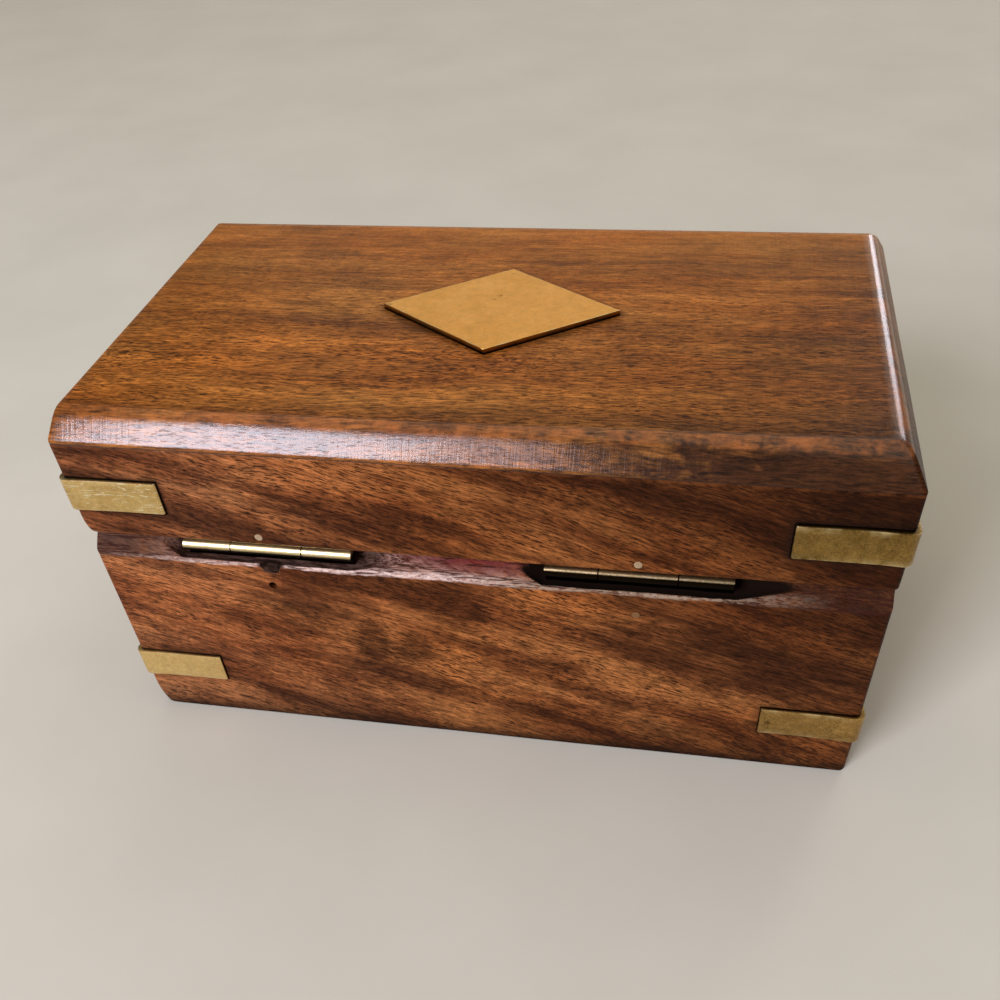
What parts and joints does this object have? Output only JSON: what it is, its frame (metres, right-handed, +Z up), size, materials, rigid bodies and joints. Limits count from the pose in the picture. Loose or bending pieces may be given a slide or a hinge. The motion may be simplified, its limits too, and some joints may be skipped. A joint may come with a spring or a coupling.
{
  "type": "hinged wooden box",
  "caption": "Small lacquered wooden box with a bevelled hinged lid, brass corner straps, a brass diamond plate on top and a felt lining.",
  "frame": {"origin": "centre of the box's underside, on the surface that it stands on", "axes": "+Z up, X along the length, the hinged back faces +Y and the front faces -Y"},
  "size_m": [0.1538, 0.0908, 0.077],
  "materials": {
    "top_wood": "lacquered, lengthwise grain",
    "wall_wood": "lacquered, slanting grain",
    "aged_brass": "aged, dull polish",
    "hinge_brass": "worn",
    "lining_felt": "short nap"
  },
  "bodies": {
    "base": {"base_back_board": "wall_wood", "base_front_board": "wall_wood", "base_right_board": "wall_wood", "base_left_board": "wall_wood", "base_bottom_board": "wall_wood", "base_strap_back_right": "aged_brass", "base_strap_back_left": "aged_brass", "base_strap_front_left": "aged_brass", "base_strap_front_right": "aged_brass", "left_hinge_base_leaf": "hinge_brass", "right_hinge_base_leaf": "hinge_brass", "left_hinge_pin": "hinge_brass", "right_hinge_pin": "hinge_brass", "base_hinge_nails": "hinge_brass", "base_floor_felt": "lining_felt", "base_back_felt": "lining_felt", "base_front_felt": "lining_felt", "base_right_felt": "lining_felt", "base_left_felt": "lining_felt"},
    "lid": {"lid_back_board": "wall_wood", "lid_front_board": "wall_wood", "lid_right_board": "wall_wood", "lid_left_board": "wall_wood", "lid_top_board": "top_wood", "lid_strap_back_right": "aged_brass", "lid_strap_back_left": "aged_brass", "lid_strap_front_left": "aged_brass", "lid_strap_front_right": "aged_brass", "left_hinge_lid_leaf": "hinge_brass", "right_hinge_lid_leaf": "hinge_brass", "lid_hinge_nails": "hinge_brass", "lid_diamond_plate": "aged_brass", "lid_ceiling_felt": "lining_felt", "lid_back_felt": "lining_felt", "lid_front_felt": "lining_felt", "lid_right_felt": "lining_felt", "lid_left_felt": "lining_felt"}
  },
  "joints": [
    {"name": "lid_hinge", "type": "hinge", "parent": "base", "child": "lid", "pos_m": [0, 0.0425, 0.0475], "axis": [-1, 0, 0], "range_deg": [0, 105]}
  ]
}
